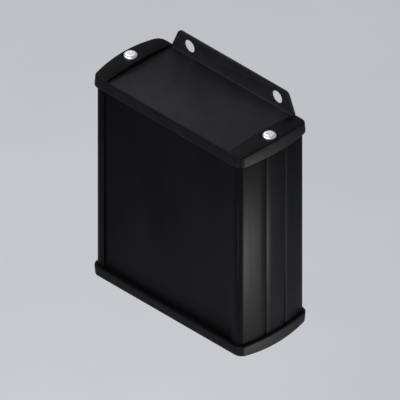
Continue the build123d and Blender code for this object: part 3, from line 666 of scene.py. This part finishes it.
for end, side in (("top", 1), ("bottom", -1)):
    low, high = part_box(f"{end}_cap_screws")
    top, tip = (high.z, low.z) if side > 0 else (low.z, high.z)
    seat = top - side * SCREW_HEAD_T
    head_radius = (high.y - low.y) / 2
    y = (low.y + high.y) / 2
    pair = [pan_screw(f"{end}_cap_screws_cut_{hand}", x, y, side, seat, top, head_radius, tip)
            for hand, x in (("left", low.x + head_radius), ("right", high.x - head_radius))]
    join_on(*pair)
    hand_over(pair[0], "bright_steel", "case", f"{end}_cap_screws")


# ---- Gain knob: fluted skirt, pointer inlay ----
FLUTES = 20
FLUTE_R = 0.72 * MM
FLUTE_OUTSET = 0.35 * MM    # a flute's centre lies this far outside the knob
DISH_RIM = 1.5 * MM
DISH_DEEP = 0.35 * MM
SHAFT_SOCKET_R = 3.02 * MM
KNOB_SKIN = 2.0 * MM        # knob material past the shaft's end
POINTER_HALF_W = 0.35 * MM


def gain_knob():
    """A fluted knob with a dished end and a white pointer."""
    low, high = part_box("gain_knob")
    x, y = (low.x + high.x) / 2, (low.y + high.y) / 2
    radius = (high.x - low.x) / 2
    knob = rod("gain_knob_fluted", x, y, low.z, high.z, radius, 120)
    bevel_rim(knob, low.z, 0.7 * MM, 4)
    bevel_rim(knob, high.z, 0.3 * MM, 2)
    flutes = []
    circle = radius + FLUTE_OUTSET
    for step in range(FLUTES):
        turn = 2 * pi * step / FLUTES
        flutes.append(rod("flute", x + circle * cos(turn), y + circle * sin(turn),
                          low.z - MM, high.z - 1.4 * MM, FLUTE_R, 20))
    join_on(*flutes)
    combine(knob, flutes[0], "DIFFERENCE")
    dish = rod("dish", x, y, low.z - MM, low.z + DISH_DEEP, radius - DISH_RIM, 96)
    combine(knob, dish, "DIFFERENCE")
    socket = rod("socket", x, y, low.z + KNOB_SKIN, high.z + MM, SHAFT_SOCKET_R)
    combine(knob, socket, "DIFFERENCE")
    hand_over(knob, "black_moulding", "gain_control", "gain_knob")
    pointer = block("gain_knob_pointer", (x - POINTER_HALF_W, y - radius + 1.6 * MM, low.z + 0.2 * MM),
                    (x + POINTER_HALF_W, y - 0.6 * MM, low.z + 0.45 * MM))
    round_edges(pointer, 0.06 * MM)
    hand_over(pointer, "white_insulator", "gain_control")


gain_knob()


# ---- Rocker: eased moulding with the two switch marks ----
ROCKER_TILT = radians(12)
FACE_SLOPE = 0.95 / 6       # each half of the rocker's face rises by this towards its end
FACE_DEPTH = 1.9 * MM       # from the pivot to the middle of the face
PIVOT_DROP = 1.3 * MM       # the pivot lies this far inside the plate's outer face
MARK_REACH = 3.2 * MM
BAR_SIZE = (0.32 * MM, 2.2 * MM, 0.06 * MM)
RING_R = 0.95 * MM
RING_WIRE_R = 0.16 * MM


def mark_place(half):
    """Where a mark lies on one half of the rocker's face, and its lean about Y."""
    low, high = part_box("switch_rocker")
    along = half * MARK_REACH
    away = FACE_DEPTH + MARK_REACH * FACE_SLOPE
    place = Vector((along * cos(ROCKER_TILT) + away * sin(ROCKER_TILT), (low.y + high.y) / 2,
                    PLATE_OUT + PIVOT_DROP + along * sin(ROCKER_TILT) - away * cos(ROCKER_TILT)))
    return place, -ROCKER_TILT + half * atan(FACE_SLOPE)


def rocker_marks():
    """A bar on one half and a ring on the other, lying in the two sloping faces."""
    place, lean = mark_place(1)
    bpy.ops.object.select_all(action="DESELECT")
    bpy.ops.mesh.primitive_cube_add(size=1, location=place, rotation=(0, lean, 0), scale=BAR_SIZE)
    bar = named("switch_rocker_bar")
    settle(bar)
    round_edges(bar, 0.02 * MM)
    hand_over(bar, "white_insulator", "rocker")
    place, lean = mark_place(-1)
    bpy.ops.object.select_all(action="DESELECT")
    bpy.ops.mesh.primitive_torus_add(location=place, rotation=(0, lean, 0), major_segments=48,
                                     minor_segments=8, major_radius=RING_R, minor_radius=RING_WIRE_R)
    hand_over(named("switch_rocker_ring"), "white_insulator", "rocker")


eased("switch_rocker", 0.25 * MM, 3)
rocker_marks()


# ---- Power inlet: the sleeve contact that lines its bore ----
SLEEVE_R = 3.1 * MM
SLEEVE_BORE_R = 2.88 * MM
SLEEVE_NEAR = 0.8 * MM      # from the inlet's mouth
SLEEVE_FAR = 9.4 * MM


def inlet_sleeve():
    """A thin metal tube round the inside of the inlet, with its end in sight."""
    low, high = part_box("power_inlet_housing")
    core_low, core_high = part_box("donor_jack_insulator")
    x, y = (low.x + high.x) / 2, (core_low.y + core_high.y) / 2
    sleeve = rod("power_inlet_sleeve", x, y, low.z + SLEEVE_NEAR, low.z + SLEEVE_FAR, SLEEVE_R)
    bore = rod("bore", x, y, low.z - MM, low.z + SLEEVE_FAR + 1.6 * MM, SLEEVE_BORE_R)
    combine(sleeve, bore, "DIFFERENCE")
    hand_over(sleeve, "nickel_plate", "case")


inlet_sleeve()


# ---- Board parts: tinned leads and capacitor cans ----
LEAD_PITCH = 0.8 * MM
LEAD_HALF_W = 0.21 * MM
LEAD_T = 0.26 * MM
LEAD_REACH = 0.9 * MM
KNEE_NEAR = 0.3 * MM
KNEE_FAR = 0.55 * MM
ARM_T = 0.25 * MM


def tinned_leads(node, count, width, rows, rise):
    """Stepped leads down both long sides of every package in a node; width includes the solid's leads."""
    low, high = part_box(node)
    pitch = (high.x - low.x - width) / max(count - 1, 1)
    middle = (low.z + high.z) / 2
    low_z = middle - (rows - 1) / 2 * LEAD_PITCH - LEAD_HALF_W
    high_z = low_z + 2 * LEAD_HALF_W
    pieces = []
    for column in range(count):
        left = low.x + column * pitch
        for side, edge in ((1, left), (-1, left + width)):
            near, far = edge + side * KNEE_NEAR, edge + side * KNEE_FAR
            foot = block("lead", (edge, high.y - LEAD_T, low_z), (far, high.y, high_z))
            knee = block("lead", (near, high.y - rise, low_z), (far, high.y, high_z))
            arm = block("lead", (near, high.y - rise, low_z),
                        (edge + side * LEAD_REACH, high.y - rise + ARM_T, high_z))
            join_on(foot, knee, arm)
            finish_with(foot, "ARRAY", count=rows, use_relative_offset=False,
                        use_constant_offset=True, constant_offset_displace=(0, 0, LEAD_PITCH))
            pieces.append(foot)
    join_on(*pieces)
    pieces[0].name = f"{node}_leads"
    hand_over(pieces[0], "tinned_steel", "case")


for chain in ("uplink", "downlink"):
    tinned_leads(f"{chain}_power_amplifiers", 2, 6.6 * MM, 5, 0.6 * MM)
    tinned_leads(f"{chain}_attenuators", 3, 4.6 * MM, 3, 0.5 * MM)
tinned_leads("controller_chip", 1, 8.6 * MM, 8, 0.6 * MM)
tinned_leads("regulator_chip", 1, 5.6 * MM, 5, 0.7 * MM)


CAPACITOR_BASE = 6.6 * MM
CAPACITOR_BASE_H = 1.0 * MM
CAPACITOR_R = 3.1 * MM
GROOVE_OUTSET = 0.2 * MM
GROOVE_R = 0.35 * MM
GROOVE_RISE = 0.9 * MM      # above the moulded base


def capacitor_cans():
    """Each storage capacitor: an aluminium can with a rolled groove, on a moulded base."""
    low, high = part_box("storage_capacitors")
    half = CAPACITOR_BASE / 2
    base_y = high.y - CAPACITOR_BASE_H
    cans, bases = [], []
    for x, z in ((low.x + half, low.z + half), (high.x - half, high.z - half)):
        base = block("capacitor_base", (x - half, base_y, z - half), (x + half, high.y, z + half))
        round_edges(base, 0.3 * MM, 2)
        bases.append(base)
        bpy.ops.object.select_all(action="DESELECT")
        bpy.ops.mesh.primitive_cylinder_add(vertices=64, radius=CAPACITOR_R, depth=base_y - low.y,
                                            location=(x, (low.y + base_y) / 2, z), rotation=(pi / 2, 0, 0))
        can = named("capacitor_can")
        settle(can)
        bpy.ops.object.select_all(action="DESELECT")
        bpy.ops.mesh.primitive_torus_add(location=(x, base_y - GROOVE_RISE, z), rotation=(pi / 2, 0, 0),
                                         major_segments=64, minor_segments=12,
                                         major_radius=CAPACITOR_R + GROOVE_OUTSET, minor_radius=GROOVE_R)
        roll = named("roll")
        settle(roll)
        combine(can, roll, "DIFFERENCE")
        round_edges(can, 0.12 * MM, 3)
        cans.append(can)
    join_on(*cans)
    join_on(*bases)
    cans[0].name = "storage_capacitor_cans"
    bases[0].name = "storage_capacitor_bases"
    hand_over(cans[0], SLOT_OF["storage_capacitors"], "case", "storage_capacitors")
    hand_over(bases[0], "chip_black", "case")


capacitor_cans()

# ---- Solids that keep their shape, with their sharp edges eased ----
for node, width in (
    ("power_inlet_housing", 0.12 * MM),
    ("power_inlet_pin", 0.08 * MM),
    ("gain_pot_body", 0.15 * MM),
    ("power_inductor", 0.3 * MM),
    ("heat_spreader", 0.15 * MM),
    ("programming_header", 0.1 * MM),
    ("donor_duplexers", 0.2 * MM),
    ("server_duplexers", 0.2 * MM),
    ("surge_suppressor", 0.15 * MM),
    ("body_extrusion", 0.12 * MM),
    ("top_cap_frame", 0.15 * MM),
    ("bottom_cap_frame", 0.15 * MM),
    ("top_end_plate", 0.15 * MM),
    ("bottom_end_plate", 0.15 * MM),
    ("switch_housing", 0.12 * MM),
):
    eased(node, width)

bpy.context.scene.view_settings.view_transform = "Standard"
